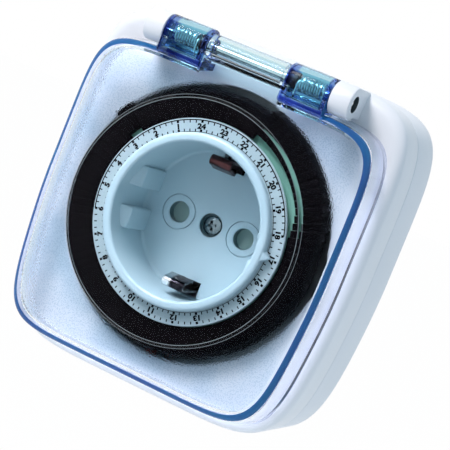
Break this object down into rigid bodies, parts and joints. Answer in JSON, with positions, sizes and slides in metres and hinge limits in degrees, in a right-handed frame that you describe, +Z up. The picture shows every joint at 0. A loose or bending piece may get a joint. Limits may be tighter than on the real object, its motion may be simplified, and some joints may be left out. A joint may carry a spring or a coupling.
{
  "type": "plug in timer switch",
  "caption": "Plug-in socket timer with a day dial of pull-out tappets around the socket well, under a clear hinged spring lid.",
  "frame": {"origin": "middle between the two plug pins, on the face of the plug", "axes": "+Y along the plug pins into the wall, +Z up to the hinge of the lid, +X to the right seen from the front"},
  "size_m": [0.0868, 0.0763, 0.0906],
  "materials": {
    "housing": "satin moulded shell, faint grain",
    "lid": "clear plastic with a light blue tint",
    "well": "smooth pale blue moulding",
    "base": "dark heat resistant moulding",
    "shutter": "pale moulding",
    "scale": "pale blue ring with printed hours",
    "drum": "sea green moulding",
    "tappet": "black moulding",
    "steel": "drawn and rolled steel",
    "nickel": "bright nickel plate",
    "brass": "rolled brass strip",
    "copper": "enamelled winding",
    "gear": "natural gear plastic",
    "plate": "grey moulding",
    "lever": "orange moulding",
    "magnet": "sintered ferrite",
    "wire_brown": "brown sleeve",
    "wire_blue": "blue sleeve",
    "bush": "dark red moulding"
  },
  "bodies": {
    "housing": {"front_housing": "housing", "rear_housing": "housing", "housing_screws": "steel", "socket_well": "well", "centre_screw": "nickel", "contact_base": "base", "shutter_spring": "steel", "live_contact": "brass", "neutral_contact": "brass", "live_strip": "brass", "plug_pin_live": "nickel", "plug_pin_neutral": "nickel", "earth_bracket": "nickel", "mechanism_plate": "plate", "gear_axles": "steel", "motor_can": "steel", "motor_cover": "steel", "motor_bobbin": "base", "motor_coil": "copper", "motor_lead_live": "wire_brown", "motor_lead_neutral": "wire_blue", "lever_pin": "steel", "lever_spring": "steel", "switch_terminal": "brass", "hinge_pin": "steel", "hinge_spring_left": "steel", "hinge_spring_right": "steel", "spring_bushes": "bush"},
    "lid": {"lid": "lid"},
    "dial": {"dial_drum": "drum", "dial_scale": "scale", "tappets_in": "tappet", "tappets_out": "tappet"},
    "gear_second": {"gear_second": "gear"},
    "gear_first": {"gear_first": "gear"},
    "motor_rotor": {"motor_rotor": "magnet"},
    "cam_lever": {"cam_lever": "lever"},
    "moving_contact": {"moving_contact": "brass"},
    "shutter": {"shutter": "shutter"},
    "tappet_01": {"tappet_01": "tappet"},
    "tappet_02": {"tappet_02": "tappet"},
    "tappet_03": {"tappet_03": "tappet"},
    "tappet_04": {"tappet_04": "tappet"},
    "tappet_05": {"tappet_05": "tappet"},
    "tappet_06": {"tappet_06": "tappet"},
    "tappet_07": {"tappet_07": "tappet"},
    "tappet_08": {"tappet_08": "tappet"}
  },
  "joints": [
    {"name": "lid_hinge", "type": "hinge", "parent": "housing", "child": "lid", "pos_m": [0, -0.0531, 0.0417], "axis": [-1, 0, 0], "range_deg": [0, 115], "stiffness_Nm_per_rad": 0.003, "springref_deg": -34.38},
    {"name": "dial_turn", "type": "hinge", "parent": "housing", "child": "dial", "pos_m": [0, -0.0516, 0], "axis": [0, 1, 0], "continuous": true},
    {"name": "gear_second_turn", "type": "hinge", "parent": "housing", "child": "gear_second", "pos_m": [-0.02334, -0.038, -0.02334], "axis": [0, 1, 0], "continuous": true},
    {"name": "gear_first_turn", "type": "hinge", "parent": "housing", "child": "gear_first", "pos_m": [-0.01527, -0.038, -0.02925], "axis": [0, 1, 0], "continuous": true},
    {"name": "rotor_turn", "type": "hinge", "parent": "housing", "child": "motor_rotor", "pos_m": [-0.0251, -0.031, -0.0274], "axis": [0, 1, 0], "continuous": true},
    {"name": "lever_swing", "type": "hinge", "parent": "housing", "child": "cam_lever", "pos_m": [0.0125, -0.04, -0.0382], "axis": [0, -1, 0], "range_deg": [-7.5, 0], "stiffness_Nm_per_rad": 0.002, "springref_deg": -2.86},
    {"name": "contact_swing", "type": "hinge", "parent": "housing", "child": "moving_contact", "pos_m": [0.027, -0.027, -0.03745], "axis": [0, -1, 0], "range_deg": [-3.15, 0]},
    {"name": "shutter_turn", "type": "hinge", "parent": "housing", "child": "shutter", "pos_m": [0, -0.0316, 0], "axis": [0, 1, 0], "range_deg": [0, 40], "stiffness_Nm_per_rad": 0.002, "springref_deg": -5.73},
    {"name": "tappet_01_slide", "type": "slide", "parent": "dial", "child": "tappet_01", "axis": [-0.5177, 0, 0.8556], "range_m": [0, 0.00165]},
    {"name": "tappet_02_slide", "type": "slide", "parent": "dial", "child": "tappet_02", "axis": [-0.971, 0, 0.239], "range_m": [0, 0.00165]},
    {"name": "tappet_03_slide", "type": "slide", "parent": "dial", "child": "tappet_03", "axis": [-0.8556, 0, -0.5177], "range_m": [0, 0.00165]},
    {"name": "tappet_04_slide", "type": "slide", "parent": "dial", "child": "tappet_04", "axis": [-0.239, 0, -0.971], "range_m": [0, 0.00165]},
    {"name": "tappet_05_slide", "type": "slide", "parent": "dial", "child": "tappet_05", "axis": [0.5177, 0, -0.8556], "range_m": [0, 0.00165]},
    {"name": "tappet_06_slide", "type": "slide", "parent": "dial", "child": "tappet_06", "axis": [0.971, 0, -0.239], "range_m": [0, 0.00165]},
    {"name": "tappet_07_slide", "type": "slide", "parent": "dial", "child": "tappet_07", "axis": [0.8556, 0, 0.5177], "range_m": [-0.00165, 0]},
    {"name": "tappet_08_slide", "type": "slide", "parent": "dial", "child": "tappet_08", "axis": [0.239, 0, 0.971], "range_m": [0, 0.00165]}
  ],
  "couplings": [
    {"joint": "gear_second_turn", "follows": "dial_turn", "ratio": -10},
    {"joint": "gear_first_turn", "follows": "dial_turn", "ratio": 40},
    {"joint": "rotor_turn", "follows": "dial_turn", "ratio": -160},
    {"joint": "contact_swing", "follows": "lever_swing", "ratio": 0.42}
  ]
}
